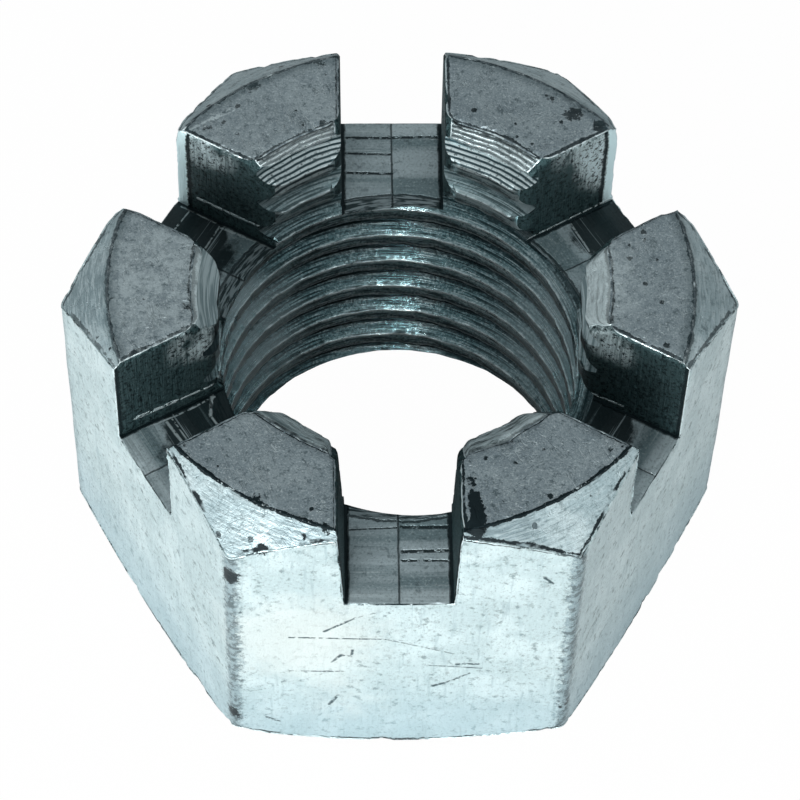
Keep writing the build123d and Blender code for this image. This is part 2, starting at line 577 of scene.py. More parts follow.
# Marks that the nut has taken, in millimetres from the centre of its bearing face
# Dents: x, y, z, radius, depth
DENTS = (
    (-10.8, -23.0, 30.1, 1.1, 0.35), (-7.5, -22.5, 31.5, 0.6, 0.12), (-13.3, -23.0, 26.8, 1.2, 0.15),
    (-13.3, -23.0, 0.0, 3.2, 0.45), (13.6, -22.6, 29.3, 0.8, 0.2), (9.9, -23.05, 28.9, 0.6, 0.12),
    (3.9, -22.5, 32.3, 1.5, 0.28), (7.6, -14.3, 32.3, 0.9, 0.25), (21.98, 8.03, 31.9, 2.2, 0.45),
    (-22.08, 7.86, 31.9, 2.0, 0.28), (17.83, 15.22, 31.9, 1.8, 0.30), (-17.93, 15.05, 31.9, 1.6, 0.22),
)
# Dirt: x, y, z, radius, strength
GRIME = (
    (4.8, -18.1, 32.3, 0.9, 0.8), (5.0, -19.4, 32.3, 0.9, 1.0), (5.1, -20.4, 32.3, 0.9, 1.0),
    (5.3, -21.1, 32.3, 0.8, 1.0), (5.2, -21.9, 32.3, 1.0, 1.0), (4.4, -22.1, 32.3, 0.8, 0.7),
    (7.6, -14.3, 32.3, 0.7, 0.8), (7.3, -20.0, 32.3, 0.5, 0.8), (-11.1, -19.5, 32.3, 0.8, 0.8),
    (-7.6, -21.4, 32.3, 0.55, 0.8), (-6.6, -21.75, 32.3, 0.6, 0.9), (-5.6, -22.05, 32.3, 0.6, 0.9),
    (-10.2, -14.2, 32.3, 0.5, 0.6), (14.0, 16.3, 32.3, 1.3, 0.9), (16.2, 15.1, 32.3, 1.1, 1.0),
    (12.2, 17.9, 32.3, 0.8, 0.8), (-15.2, 15.0, 32.3, 0.8, 0.8), (-13.9, 15.5, 32.3, 0.7, 0.8),
    (-9.0, 15.1, 32.3, 0.5, 0.8), (-7.6, 15.3, 32.3, 0.5, 0.8), (-6.0, 15.4, 32.3, 0.7, 0.9),
    (-11.7, 19.3, 32.3, 1.2, 0.9), (-6.2, 21.6, 32.3, 1.0, 0.8), (-14.2, 17.5, 32.3, 0.7, 0.7),
    (-16.6, -2.1, 32.3, 0.8, 0.8), (16.1, 2.0, 32.3, 0.9, 0.8), (16.0, -0.8, 32.3, 1.0, 0.8),
    (15.8, -3.4, 32.3, 0.9, 0.9), (-10.8, -23.0, 30.1, 1.0, 1.0), (-7.5, -22.5, 31.5, 0.5, 1.0),
    (-13.3, -23.0, 26.4, 1.6, 1.0), (5.2, -22.6, 32.0, 1.1, 0.7), (7.2, -22.7, 31.5, 1.0, 0.45),
    (-5.4, -22.4, 31.9, 0.8, 0.5), (9.9, -23.05, 28.9, 0.55, 0.6), (-13.4, -23.0, 5.0, 1.4, 0.9),
    (13.4, -23.0, 6.0, 1.4, 0.7),
)
# Painted light on the lugs' tops, the front flat, the bore's sides and a countersink: x, y, z, radius, strength
PAINTED_LIGHT = (
    (-19.0, 0.0, 32.3, 9.0, 0.34), (19.0, 0.0, 32.3, 9.0, 0.10), (-10.0, 18.0, 32.3, 9.0, 0.14),
    (10.0, 18.0, 32.3, 9.0, 0.05), (-7.5, -23.0, 17.0, 9.0, 1.0), (-4.0, -23.0, 7.0, 5.0, 0.5),
    (-13.2, 6.5, 20.3, 4.5, 1.0), (-14.5, 2.0, 18.0, 3.5, 0.7), (13.2, 6.5, 20.0, 4.0, 0.8),
    (14.6, 1.5, 17.5, 3.5, 0.7), (-12.5, 7.0, 13.0, 8.0, 1.2), (-11.0, 9.0, 6.0, 6.0, 0.8),
    (12.5, 7.0, 13.0, 8.0, 0.7), (11.0, 9.0, 6.0, 6.0, 0.5), (15.0, 0.0, 31.0, 4.5, 0.3),
    (-4.6, -22.7, 31.6, 1.0, 1.0), (-7.5, -22.9, 30.7, 1.2, 0.6),
)
# Painted shade on the chamfers, grey stretches that the turned streaks break up: x, y, z, radius, strength
SHADED_CHAMFER_PATCHES = (
    (-5.6, -22.4, 31.8, 4.6, 1.2), (-9.5, -21.9, 31.0, 3.0, 0.4), (6.0, -22.4, 31.6, 4.4, 1.2),
    (9.8, -22.2, 30.6, 3.2, 0.3), (-12.8, -20.6, 30.2, 3.6, 0.35), (-24.5, 0.0, 30.5, 7.0, 1.0),
    (24.5, 0.0, 30.5, 6.0, 0.35), (-20.0, 12.5, 31.0, 4.0, 0.5), (20.0, 12.5, 31.0, 4.0, 0.5),
    (-5.0, 22.5, 31.5, 4.0, 0.5), (5.0, 22.5, 31.5, 4.0, 0.5),
)
# Painted light on the slots' walls, paler stretches towards the flats and the top: x, y, z, radius, strength
LIT_WALL_PATCHES = (
    (-16.2, -4.4, 30.2, 2.6, 1.1), (-14.6, -3.5, 29.4, 2.4, 1.1), (15.2, -4.1, 30.2, 2.4, 1.1),
    (16.6, -4.9, 30.0, 2.2, 1.0), (-16.2, 14.0, 30.8, 2.6, 1.2), (-14.6, 13.1, 31.2, 2.4, 1.0),
    (17.9, 15.3, 28.6, 4.6, 3.0), (16.0, 14.2, 30.4, 3.0, 1.0), (14.0, 13.0, 31.6, 2.4, 0.8),
)
# Painted shade on the slots' floors, black stretches beside the lugs' walls: x, y, z, radius, strength
FLOOR_SHADE_PATCHES = (
    (-16.0, -6.1, 22.35, 3.2, 1.5), (-14.3, -5.0, 22.35, 2.4, 1.2), (-17.2, -9.6, 22.35, 2.4, 0.5),
    (-18.6, 13.0, 22.35, 3.6, 1.2), (-16.2, 12.6, 22.35, 3.0, 1.2), (-15.2, 9.6, 22.35, 3.0, 0.8),
    (16.8, 12.2, 22.35, 3.2, 1.4), (18.6, 11.4, 22.35, 2.6, 1.3), (19.6, 14.2, 22.35, 2.2, 0.9),
    (14.6, -5.9, 22.35, 3.8, 1.4), (12.6, -5.2, 22.35, 3.4, 1.2), (16.6, -7.4, 22.35, 2.4, 0.9),
)
# Dark scratches on the front flats: start, end, width
FLAT_SCRATCHES = (
    ((-8.7, -23.05, 17.3), (-1.3, -23.05, 16.9), 0.14), ((-1.3, -23.05, 16.9), (4.2, -23.05, 14.5), 0.13),
    ((-8.7, -23.05, 11.9), (-4.4, -23.05, 11.8), 0.14), ((-6.0, -23.05, 18.2), (-3.6, -23.05, 20.2), 0.19),
    ((-3.6, -23.05, 20.2), (-1.4, -23.05, 21.3), 0.13), ((-5.4, -23.05, 13.3), (-4.7, -23.05, 14.4), 0.21),
    ((-4.7, -23.05, 14.4), (-3.9, -23.05, 14.2), 0.19), ((-3.9, -23.05, 14.2), (-3.8, -23.05, 15.2), 0.18),
    ((-5.6, -23.05, 6.4), (-4.9, -23.05, 7.9), 0.21), ((2.2, -23.05, 12.7), (6.3, -23.05, 12.2), 0.16),
    ((4.4, -23.05, 12.8), (6.0, -23.05, 12.9), 0.26), ((2.6, -23.05, 9.4), (4.0, -23.05, 10.2), 0.22),
    ((4.0, -23.05, 10.2), (5.4, -23.05, 11.4), 0.16), ((-10.6, -23.05, 4.3), (-9.6, -23.05, 3.6), 0.18),
    ((10.6, -23.05, 26.2), (11.2, -23.05, 25.4), 0.19), ((-21.6, -14.2, 22.5), (-20.6, -15.9, 19.2), 0.26),
)
# Bright ridges that the cutter left on the slots' walls: start, end, width
WALL_RIDGES = (
    ((-20.66, -7.0, 23.8), (-17.6, -5.2, 23.5), 0.26), ((-17.6, -5.2, 23.5), (-14.3, -3.3, 23.2), 0.16),
    ((-16.1, 14.0, 24.1), (-12.7, 12.0, 24.1), 0.22), ((-12.7, 12.0, 24.1), (-9.3, 10.1, 24.3), 0.16),
    ((8.9, 10.0, 22.45), (17.7, 15.1, 22.55), 0.16), ((13.8, -3.3, 22.5), (17.5, -5.4, 22.9), 0.16),
    ((-14.2, -3.2, 28.3), (-14.0, -3.1, 27.9), 0.30),
)
# Dark chatter lines on the slots' floors: start, end, width
FLOOR_LINES = (
    ((0.0, -18.3, 22.35), (3.9, -18.2, 22.35), 0.20), ((0.0, -19.1, 22.35), (3.9, -19.1, 22.35), 0.16),
    ((0.0, -16.1, 22.35), (3.9, -16.1, 22.35), 0.22), ((-4.3, -16.4, 22.35), (-0.4, -16.2, 22.35), 0.12),
    ((-4.3, 21.5, 22.35), (3.7, 21.5, 22.35), 0.20), ((-4.3, 19.9, 22.35), (-0.4, 19.8, 22.35), 0.16),
    ((-4.3, 17.9, 22.35), (-0.3, 17.8, 22.35), 0.18),
)
# Bright chatter lines on the slots' floors: start, end, width
FLOOR_RIDGES = (
    ((-17.5, 14.46, 22.35), (-14.7, 12.8, 22.35), 0.13), ((-14.3, 12.3, 22.35), (-10.3, 10.4, 22.35), 0.16),
    ((-18.0, 12.2, 22.35), (-16.9, 13.9, 22.35), 0.11), ((-14.4, 12.4, 22.35), (-15.5, 10.3, 22.35), 0.12),
    ((-18.3, -6.5, 22.35), (-17.1, -8.3, 22.35), 0.16), ((-17.9, -6.2, 22.35), (-16.7, -8.1, 22.35), 0.10),
    ((-14.8, -3.5, 22.35), (-14.9, -5.9, 22.35), 0.20), ((-14.9, -5.9, 22.35), (-14.1, -7.1, 22.35), 0.14),
    ((-20.6, -7.25, 22.35), (-17.6, -5.9, 22.35), 0.10), ((-17.6, -5.9, 22.35), (-14.6, -4.1, 22.35), 0.12),
    ((13.9, 13.3, 22.35), (15.6, 10.0, 22.35), 0.13),
)
# Bright burrs on the lugs' tops: start, end, width
TOP_RIDGES = (
    ((-16.6, 14.8, 32.3), (-14.8, 15.9, 32.3), 0.16), ((-14.8, 15.9, 32.3), (-13.2, 16.8, 32.3), 0.30),
    ((-22.5, -4.8, 32.3), (-22.1, -5.3, 32.3), 0.30),
)

# Colours that several zones share
SOOT = (0.012, 0.024, 0.028)
# Black for dirt along the slot walls' outer ends, and for painted shade on the slots' floors
DIRT_AND_SHADE_BLACK = (0.008, 0.019, 0.022)
THREAD_BLACK = (0.010, 0.028, 0.032)
DARK_STEEL = (0.03, 0.05, 0.055)
DULL_STEEL = (0.05, 0.08, 0.09)
# Painted shade along the rims of the lugs away from the front
RIM_SHADE = (0.04, 0.075, 0.085)
# Pale of worn edges, and of painted highlight on the back lugs' outer edges
WORN_AND_LIT_PALE = (0.72, 0.92, 0.95)


class Wiring:
    """Short calls that add and join the nodes of one tree."""

    def __init__(self, tree):
        self.tree = tree

    def node(self, kind, values=(), **settings):
        made = self.tree.nodes.new("ShaderNode" + kind)
        for name, value in settings.items():
            setattr(made, name, value)
        for key, value in dict(values).items():
            self.feed(made.inputs[key], value)
        return made

    def feed(self, socket, value):
        """Links another socket, or sets a value; a colour of three numbers gets its fourth."""
        if isinstance(value, bpy.types.NodeSocket):
            self.tree.links.new(value, socket)
        elif hasattr(socket.default_value, "__len__") and len(socket.default_value) == 4 and len(value) == 3:
            socket.default_value = (*value, 1)
        else:
            socket.default_value = value

    def math(self, operation, *values, clamp=False):
        return self.node("Math", enumerate(values), operation=operation, use_clamp=clamp).outputs[0]

    def fold(self, operation, values):
        """One operation over all values, from the first to the last."""
        result = values[0]
        for value in values[1:]:
            result = self.math(operation, result, value)
        return result

    def plus(self, *values):
        return self.fold("ADD", values)

    def minus(self, first, second):
        return self.math("SUBTRACT", first, second)

    def times(self, *values):
        return self.fold("MULTIPLY", values)

    def highest(self, *values):
        return self.fold("MAXIMUM", values)

    def magnitude(self, value):
        return self.math("ABSOLUTE", value)

    def clip(self, value):
        """The value kept from 0 to 1."""
        return self.math("MULTIPLY", value, 1.0, clamp=True)

    def sway(self, value, amount):
        """Noise from 0 to 1, moved to lie around 0 and made as wide as the amount."""
        return self.times(self.minus(value, 0.5), amount)

    def ramp(self, value, low, high, start=0.0, end=1.0):
        """Rises smoothly from start to end as the value goes from low to high."""
        limits = {"Value": value, "From Min": low, "From Max": high, "To Min": start, "To Max": end}
        return self.node("MapRange", limits, interpolation_type="SMOOTHSTEP").outputs[0]

    def vector(self, operation, *values):
        made = self.node("VectorMath", {}, operation=operation)
        for socket, value in zip(made.inputs, values):
            self.feed(socket, value)
        return made.outputs[0]

    def dot(self, first, second):
        return self.node("VectorMath", {0: first, 1: second}, operation="DOT_PRODUCT").outputs["Value"]

    def scaled(self, vector, factor):
        return self.node("VectorMath", {0: vector, "Scale": factor}, operation="SCALE").outputs[0]

    def stretched(self, vector, scale):
        return self.node("Mapping", {"Vector": vector, "Scale": scale}).outputs[0]

    def part(self, vector, index):
        """One of the three numbers of a vector."""
        return self.node("SeparateXYZ", {0: vector}).outputs[index]

    def compose(self, x, y, z):
        return self.node("CombineXYZ", {0: x, 1: y, 2: z}).outputs[0]

    def around_axis(self, place):
        """The x, y and z of a place, and its distance from the nut's axis."""
        x, y, z = self.node("SeparateXYZ", {0: place}).outputs
        return x, y, z, self.math("SQRT", self.plus(self.times(x, x), self.times(y, y)))

    def blend(self, share, first, second):
        return self.node("Mix", {0: share, 6: first, 7: second}, data_type="RGBA").outputs[2]

    def tint(self, colour, tone, *shares):
        """The colour with a tone laid over it, as strongly as the product of the shares."""
        return self.blend(self.times(*shares), colour, tone)

    def noise(self, vector, scale, detail=2.0, roughness=0.5, distortion=0.0):
        return self.node("TexNoise", {"Vector": vector, "Scale": scale, "Detail": detail, "Roughness": roughness,
                                      "Distortion": distortion}).outputs["Fac"]

    def attribute(self, name):
        return self.node("Attribute", attribute_name=name).outputs["Fac"]

    def position(self):
        """Object coordinates in millimetres."""
        return self.scaled(self.node("TexCoord").outputs["Object"], 1000.0)

    def group(self, tree, **values):
        made = self.node("Group", node_tree=tree)
        for name, value in values.items():
            self.feed(made.inputs[name], value)
        return made.outputs


def new_group(name, inputs, outputs):
    """An empty node group with its sockets, its wiring, and its input and output nodes."""
    tree = bpy.data.node_groups.new(name, "ShaderNodeTree")
    for label, kind, default in inputs:
        socket = tree.interface.new_socket(name=label, in_out="INPUT", socket_type="NodeSocket" + kind)
        if default is not None:
            socket.default_value = default
    for label, kind in outputs:
        tree.interface.new_socket(name=label, in_out="OUTPUT", socket_type="NodeSocket" + kind)
    wiring = Wiring(tree)
    return tree, wiring, tree.nodes.new("NodeGroupInput").outputs, tree.nodes.new("NodeGroupOutput").inputs


def edge_dirt_group():
    """Black dirt caught along an edge: ragged, and broken here and there."""
    tree, w, given, out = new_group(
        "edge_dirt",
        [("Position", "Vector", None), ("Distance", "Float", 1.0), ("Width", "Float", 0.25), ("Break", "Float", 0.4)],
        [("Mask", "Float")])
    place = given["Position"]
    swell = w.plus(w.sway(w.noise(place, 3.0, 3, 0.7), 3.0), w.sway(w.noise(place, 0.7, 2, 0.6), 3.5))
    away = w.math("DIVIDE", w.magnitude(given["Distance"]), given["Width"])
    near = w.ramp(w.plus(away, swell), 0.7, 1.2, 1.0, 0.0)
    present = w.ramp(w.minus(w.noise(place, 0.45, 3, 0.6), given["Break"]), -0.05, 0.05)
    w.feed(out["Mask"], w.times(near, present))
    return tree


def plating_group():
    """Zinc plating: clouds of lighter and darker plating, grain, specks and fine scratches."""
    tree, w, given, out = new_group(
        "zinc_plating",
        [("Position", "Vector", None), ("Base", "Color", None), ("Cloud", "Float", 0.5), ("Grain", "Float", 0.5),
         ("Pits", "Float", 0.5), ("Scratches", "Float", 0.5), ("Dust", "Float", 0.0)],
        [("Colour", "Color"), ("Height", "Float"), ("Shade", "Float")])
    place, base = given["Position"], given["Base"]
    light = w.blend(0.5, base, (0.80, 0.92, 0.93))
    dark = w.blend(0.62, base, (0.006, 0.033, 0.039))
    cloud = w.ramp(w.noise(place, 0.22, 4, 0.6, 0.4), 0.40, 0.66)
    mottle = w.noise(place, 1.4, 4, 0.65)
    grain = w.noise(place, 3.4, 3, 0.7)
    dust = w.noise(place, 7.0, 2, 0.6)
    shade = w.clip(w.plus(w.ramp(mottle, 0.45, 0.30), w.times(w.ramp(grain, 0.46, 0.30), 0.7)))
    colour = w.tint(base, light, cloud, given["Cloud"])
    colour = w.tint(colour, dark, shade, given["Grain"])
    colour = w.tint(colour, light, w.ramp(grain, 0.58, 0.72), given["Grain"])
    colour = w.tint(colour, light, w.ramp(dust, 0.53, 0.70), given["Dust"])
    colour = w.tint(colour, dark, w.ramp(dust, 0.45, 0.28), given["Dust"])

    # Black specks, each of its own size
    shifted = w.vector("ADD", place, (3.3, 1.7, 0.4))
    cells = w.node("TexVoronoi", {"Vector": shifted, "Scale": 0.85, "Randomness": 1.0})
    chance = w.node("SeparateColor", {0: cells.outputs["Color"]}).outputs[0]
    speck_size = w.times(w.ramp(chance, 0.55, 1.0), 0.17)
    away = w.plus(cells.outputs["Distance"], w.sway(grain, 0.35))
    specks = w.times(w.ramp(w.minus(away, speck_size), 0.05, 0.0), w.ramp(chance, 0.5, 0.6), given["Pits"])
    colour = w.tint(colour, SOOT, specks)

    # Fine scratches in three directions, and curled ones
    lines = []
    for turn, stretch, shift in (
            (0.5, (6.0, 0.4, 0.9), 3.0), (-0.9, (8.0, 0.45, 0.8), 11.0), (1.9, (5.0, 0.35, 1.0), 23.0)):
        slanted = w.node("Mapping", {"Vector": place, "Location": (shift, shift, 0), "Rotation": (0.3, 0.2, turn),
                                     "Scale": stretch}, vector_type="TEXTURE").outputs[0]
        thin = w.ramp(w.magnitude(w.minus(w.noise(slanted, 1.0, 1, 0.4), 0.52)), 0.014, 0.004)
        here = w.ramp(w.noise(w.vector("ADD", place, (shift, 0, 0)), 0.35, 1), 0.54, 0.64)
        lines.append(w.times(thin, here))
    curl = w.ramp(w.magnitude(w.minus(w.noise(place, 0.9, 2, 0.6, 1.4), 0.5)), 0.022, 0.008)
    here = w.ramp(w.noise(w.vector("ADD", place, (7.0, 0, 0)), 0.8, 2), 0.57, 0.63)
    lines.append(w.times(curl, here))
    lines = w.times(w.highest(*lines), given["Scratches"])
    colour = w.tint(colour, w.blend(w.ramp(mottle, 0.48, 0.52), dark, light), lines, 0.6)

    height = w.plus(w.times(mottle, 0.5), w.times(grain, 0.25))
    height = w.minus(height, w.plus(w.times(specks, 0.6), w.times(lines, 0.35)))
    w.feed(out["Colour"], colour)
    w.feed(out["Height"], height)
    w.feed(out["Shade"], shade)
    return tree


def scratch_group():
    """One scratch from its start to its end, thin and a little ragged."""
    tree, w, given, out = new_group(
        "scratch",
        [("Position", "Vector", None), ("Start", "Vector", None), ("End", "Vector", None), ("Width", "Float", 0.08)],
        [("Mask", "Float")])
    span = w.vector("SUBTRACT", given["End"], given["Start"])
    reach = w.vector("SUBTRACT", given["Position"], given["Start"])
    share = w.math("DIVIDE", w.dot(reach, span), w.dot(span, span), clamp=True)
    off_line = w.vector("SUBTRACT", reach, w.scaled(span, share))
    away = w.node("VectorMath", {0: off_line}, operation="LENGTH").outputs["Value"]
    ragged = w.sway(w.noise(given["Position"], 1.6, 3, 0.7), 0.9)
    away = w.magnitude(w.plus(away, w.times(ragged, given["Width"])))
    line = w.ramp(w.math("DIVIDE", away, given["Width"]), 1.0, 0.4)
    gaps = w.ramp(w.noise(given["Position"], 2.4, 2, 0.6), 0.38, 0.5)
    w.feed(out["Mask"], w.times(line, gaps))
    return tree


def turned_group():
    """Noise drawn out around the axis, as a turning tool leaves it."""
    tree, w, given, out = new_group(
        "turned_streaks",
        [("Position", "Vector", None), ("Around", "Float", 9.0), ("Across", "Float", 4.0)],
        [("Streaks", "Float")])
    x, y, z, radius = w.around_axis(given["Position"])
    turn = w.math("DIVIDE", given["Around"], radius)
    depth = w.times(w.minus(radius, w.times(z, 3.0)), given["Across"])
    w.feed(out["Streaks"], w.noise(w.compose(w.times(x, turn), w.times(y, turn), depth), 1.0, 3, 0.6))
    return tree


def thread_place_group():
    """The height above the middle of the thread's nearest groove, and a vector that runs along the thread."""
    tree, w, given, out = new_group(
        "thread_place",
        [("Position", "Vector", None), ("Pitch", "Float", 3.6), ("Start", "Float", 0.0)],
        [("Height", "Float"), ("Along", "Vector")])
    x, y, z, radius = w.around_axis(given["Position"])
    turn = w.math("DIVIDE", w.math("ARCTAN2", y, x), math.tau)
    climb = w.minus(w.minus(z, given["Start"]), w.times(turn, given["Pitch"]))
    half = w.times(given["Pitch"], 0.5)
    height = w.math("WRAP", climb, half, w.times(half, -1.0))
    across = w.plus(w.times(radius, 6.0), w.times(height, 2.6))
    w.feed(out["Height"], height)
    w.feed(out["Along"], w.compose(w.times(x, 0.22), w.times(y, 0.22), across))
    return tree


def ribs_group():
    """Fine ribs around the upper end of the bore, where the tap tore the metal."""
    tree, w, given, out = new_group(
        "torn_ribs",
        [("Position", "Vector", None), ("Spacing", "Float", 0.72)],
        [("Ribs", "Float")])
    _, _, z, radius = w.around_axis(given["Position"])
    uneven = w.sway(w.noise(given["Position"], 0.3, 2, 0.5), 0.9)
    climb = w.plus(z, w.times(radius, 1.5), uneven)
    wave = w.math("SINE", w.math("DIVIDE", w.times(climb, math.tau), given["Spacing"]))
    w.feed(out["Ribs"], w.plus(w.times(wave, 0.5), 0.5))
    return tree


class Paint:
    """The nut's materials: each method after the helpers wires one zone, and all share the groups and colours."""

    def __init__(self, finish, size):
        self.finish, self.size = finish, size
        self.plating, self.dirt, self.scratch = plating_group(), edge_dirt_group(), scratch_group()
        self.turned, self.thread_place, self.ribs = turned_group(), thread_place_group(), ribs_group()

    def start(self, zone):
        """Begins the material of a zone, with its wiring and its place in millimetres."""
        self.material = bpy.data.materials.new("zinc_" + zone)
        self.material.use_nodes = True
        self.w = Wiring(self.material.node_tree)
        self.place = self.w.position()
        return self.w, self.place

    def finish_off(self, colour, roughness, height, depth, metallic, gloss=0.5):
        """Joins the zone's values to its shader; depth is that of its bumps in millimetres."""
        w, shader = self.w, self.w.tree.nodes["Principled BSDF"]
        w.feed(shader.inputs["Base Color"], colour)
        w.feed(shader.inputs["Roughness"], roughness)
        shader.inputs["Metallic"].default_value = metallic
        shader.inputs["Specular IOR Level"].default_value = gloss
        bump = w.node("Bump", {"Height": height, "Distance": depth * MM, "Strength": 1.0})
        w.feed(shader.inputs["Normal"], bump.outputs[0])
        return self.material

    def coat(self, colour, cloud, grain, pits, scratches, dust=0.0):
        """The plating, with the strength of each of its marks."""
        return self.w.group(self.plating, Position=self.place, Base=colour, Cloud=cloud, Grain=grain, Pits=pits,
                            Scratches=scratches, Dust=dust)

    def streaks(self, around, across):
        return self.w.group(self.turned, Position=self.place, Around=around, Across=across)["Streaks"]

    def ribbing(self):
        return self.w.group(self.ribs, Position=self.place)["Ribs"]

    def black_lines(self, *lines):
        """Dirt in its patches and along edges, each given as attribute, shift, width and how often it breaks."""
        w = self.w
        uneven = w.sway(w.noise(self.place, 2.6, 4, 0.7), 1.5)
        mask = w.ramp(w.plus(w.clip(w.attribute("grime")), uneven), 0.55, 0.7)
        for name, shift, width, gaps in lines:
            away = w.minus(w.attribute(name), shift)
            if name == "slot":
                # A slot ends at its floor
                away = w.highest(w.magnitude(away), w.times(w.attribute("floor"), -1.0))
            line = w.group(self.dirt, Position=self.place, Distance=away, Width=width, Break=gaps)["Mask"]
            mask = w.highest(mask, line)
        return mask

    def scratches(self, lines):
        """All of the listed scratches in one mask."""
        return self.w.highest(*(
            self.w.group(self.scratch, Position=self.place, Start=begin, End=end, Width=width)["Mask"]
            for begin, end, width in lines))

    def front(self, near, far):
        """A value that is near on the lugs at the front and far on the others."""
        return self.w.ramp(self.w.part(self.place, 1), -15.0, -9.0, near, far)

    def back(self):
        """1 on the lugs at the back, 0 on the others."""
        return self.w.ramp(self.w.part(self.place, 1), 4.0, 8.0)

    def rear_sides(self):
        """1 beside the two slanted slots at the back, 0 elsewhere."""
        sideways = self.w.magnitude(self.w.part(self.place, 0))
        return self.w.times(self.back(), self.w.ramp(sideways, 8.0, 12.0))

    def end_face(self):
        """Dull mid grey, with dirt in its nicks and around its rim, and painted shade along the rim of the lugs away
        from the front.
        """
        w, place = self.start("end_face")
        rubbed_and_lit = self.finish.rubbed_and_lit
        coat = self.coat(self.finish.end_face, 0.28, 0.9, 1.0, 1.0, 0.55)
        by_slot = w.ramp(w.attribute("across"), 3.0, 4.0, 0.05, 0.15)
        lines = self.black_lines(("arc", -0.06, self.front(0.11, 0.13), 0.30),
                                 ("mouth", 0.16, self.front(0.07, 0.15), 0.30), ("slot", 0.30, by_slot, 0.36))
        colour = w.tint(coat["Colour"], self.finish.dirt, lines, self.front(1.0, 0.92))
        # Painted light: lighter patches of the tops, broken up by mottling
        mottled = w.ramp(w.noise(place, 1.5, 4, 0.75), 0.42, 0.58, 0.1, 1.1)
        colour = w.tint(colour, rubbed_and_lit, w.clip(w.times(w.attribute("painted_light"), mottled)))
        colour = w.tint(colour, rubbed_and_lit, self.scratches(TOP_RIDGES), 0.55)
        # Painted shade: darker along the rim on the lugs away from the front
        shade = w.ramp(w.magnitude(w.plus(w.attribute("arc"), 0.2)), 0.8, 0.1)
        colour = w.tint(colour, RIM_SHADE, shade, self.front(0.0, 0.4))
        height = w.minus(coat["Height"], w.times(lines, 0.3))
        roughness = w.highest(w.ramp(coat["Shade"], 0, 1, 0.42, 0.6), w.times(lines, 0.75))
        return self.finish_off(colour, roughness, height, 0.09, 0.5, 0.3)

    def chamfer(self):
        """Bright, with the tool's marks and dark scraped streaks around it, grey stretches of painted shade, and
        painted shade near the rim on the lugs away from the front.
        """
        w, _ = self.start("chamfer")
        coat = self.coat(self.finish.chamfer, 0.8, 0.8, 1.0, 0.6, 0.3)
        streaks = self.streaks(16.0, 1.9)
        # Painted shade: grey stretches of the chamfers, which also deepen the scraped streaks
        dull = w.clip(w.attribute("dull"))
        scraped = w.ramp(w.minus(streaks, w.times(dull, 0.12)), 0.44, 0.34)
        colour = w.tint(coat["Colour"], (0.24, 0.32, 0.345), dull, 0.60)
        colour = w.tint(colour, self.finish.rubbed_and_lit, w.ramp(streaks, 0.52, 0.66), 0.25)
        colour = w.tint(colour, (0.12, 0.18, 0.20), scraped, 0.45)
        lines = self.black_lines(("arc", 0.10, self.front(0.08, 0.10), 0.36), ("hyperbola", 0.22, 0.12, 0.47))
        colour = w.tint(colour, self.finish.dirt, lines, self.front(1.0, 0.7))
        # Painted shade: darker towards the rim on the lugs away from the front
        colour = w.tint(colour, RIM_SHADE, w.ramp(w.attribute("arc"), 0.7, 0.0), self.front(0.0, 0.35))
        roughness = w.highest(w.ramp(streaks, 0.3, 0.7, 0.5, 0.4), w.times(lines, 0.75))
        return self.finish_off(colour, roughness, w.plus(coat["Height"], w.times(streaks, 0.6)), 0.12, 0.4)

    def flat(self):
        """Pale, with specks, scratches and dark worn corners, painted shade towards the bottom, patches of painted
        light, and pale beside the slots at the back, partly worn and partly painted highlight.
        """
        w, place = self.start("flat")
        coat = self.coat(self.finish.flat, 0.7, 0.8, 0.22, 0.4)
        rolling = w.noise(w.stretched(place, (2.4, 2.4, 0.25)), 1.0, 3, 0.65)
        # Painted shade: darker and bluer towards the bottom of the flats
        low = w.plus(w.part(place, 2), w.times(w.noise(place, 0.3, 3, 0.6), 8.0))
        colour = w.tint(coat["Colour"], (0.29, 0.43, 0.49), w.ramp(low, 17.0, 6.0, 0.0, 0.45))
        colour = w.tint(colour, (0.27, 0.38, 0.41), w.ramp(rolling, 0.46, 0.32), 0.4)
        # Painted light: paler patches on the front flat
        painted_light, blotches = w.attribute("painted_light"), w.sway(w.noise(place, 0.7, 4, 0.7), 1.6)
        pale = w.clip(w.times(w.ramp(w.plus(painted_light, blotches), 0.1, 0.8), painted_light))
        colour = w.tint(colour, (0.66, 0.72, 0.70), pale, 0.75)
        marks = self.scratches(FLAT_SCRATCHES)
        colour = w.tint(colour, (0.035, 0.07, 0.08), marks, 0.95)
        crumbs = w.sway(w.noise(place, 2.2, 4, 0.8), 2.6)
        corner = w.ramp(w.plus(w.attribute("corner"), crumbs), 0.95, 0.35)
        mottled = w.blend(w.ramp(w.noise(place, 1.6, 4, 0.75), 0.42, 0.56), (0.04, 0.07, 0.08), (0.24, 0.33, 0.36))
        colour = w.tint(colour, mottled, corner, self.front(0.85, 0.35))
        # Pale strips beside the slots at the back: partly wear, partly painted highlight
        by_slot = w.times(w.ramp(w.attribute("slot"), 1.3, 0.9), w.ramp(w.attribute("floor"), 0.0, 0.3))
        colour = w.tint(colour, WORN_AND_LIT_PALE, by_slot, self.rear_sides(), 0.9)
        lines = self.black_lines(("upper", 0.16, 0.09, 0.46), ("slot", 0.12, 0.07, 0.55), ("lower", 0.2, 0.12, 0.5))
        colour = w.tint(colour, self.finish.dirt, lines)
        height = w.minus(w.plus(coat["Height"], w.times(rolling, 0.3)), w.times(marks, 0.6))
        return self.finish_off(colour, w.ramp(coat["Shade"], 0, 1, 0.45, 0.6), height, 0.12, 0.35)

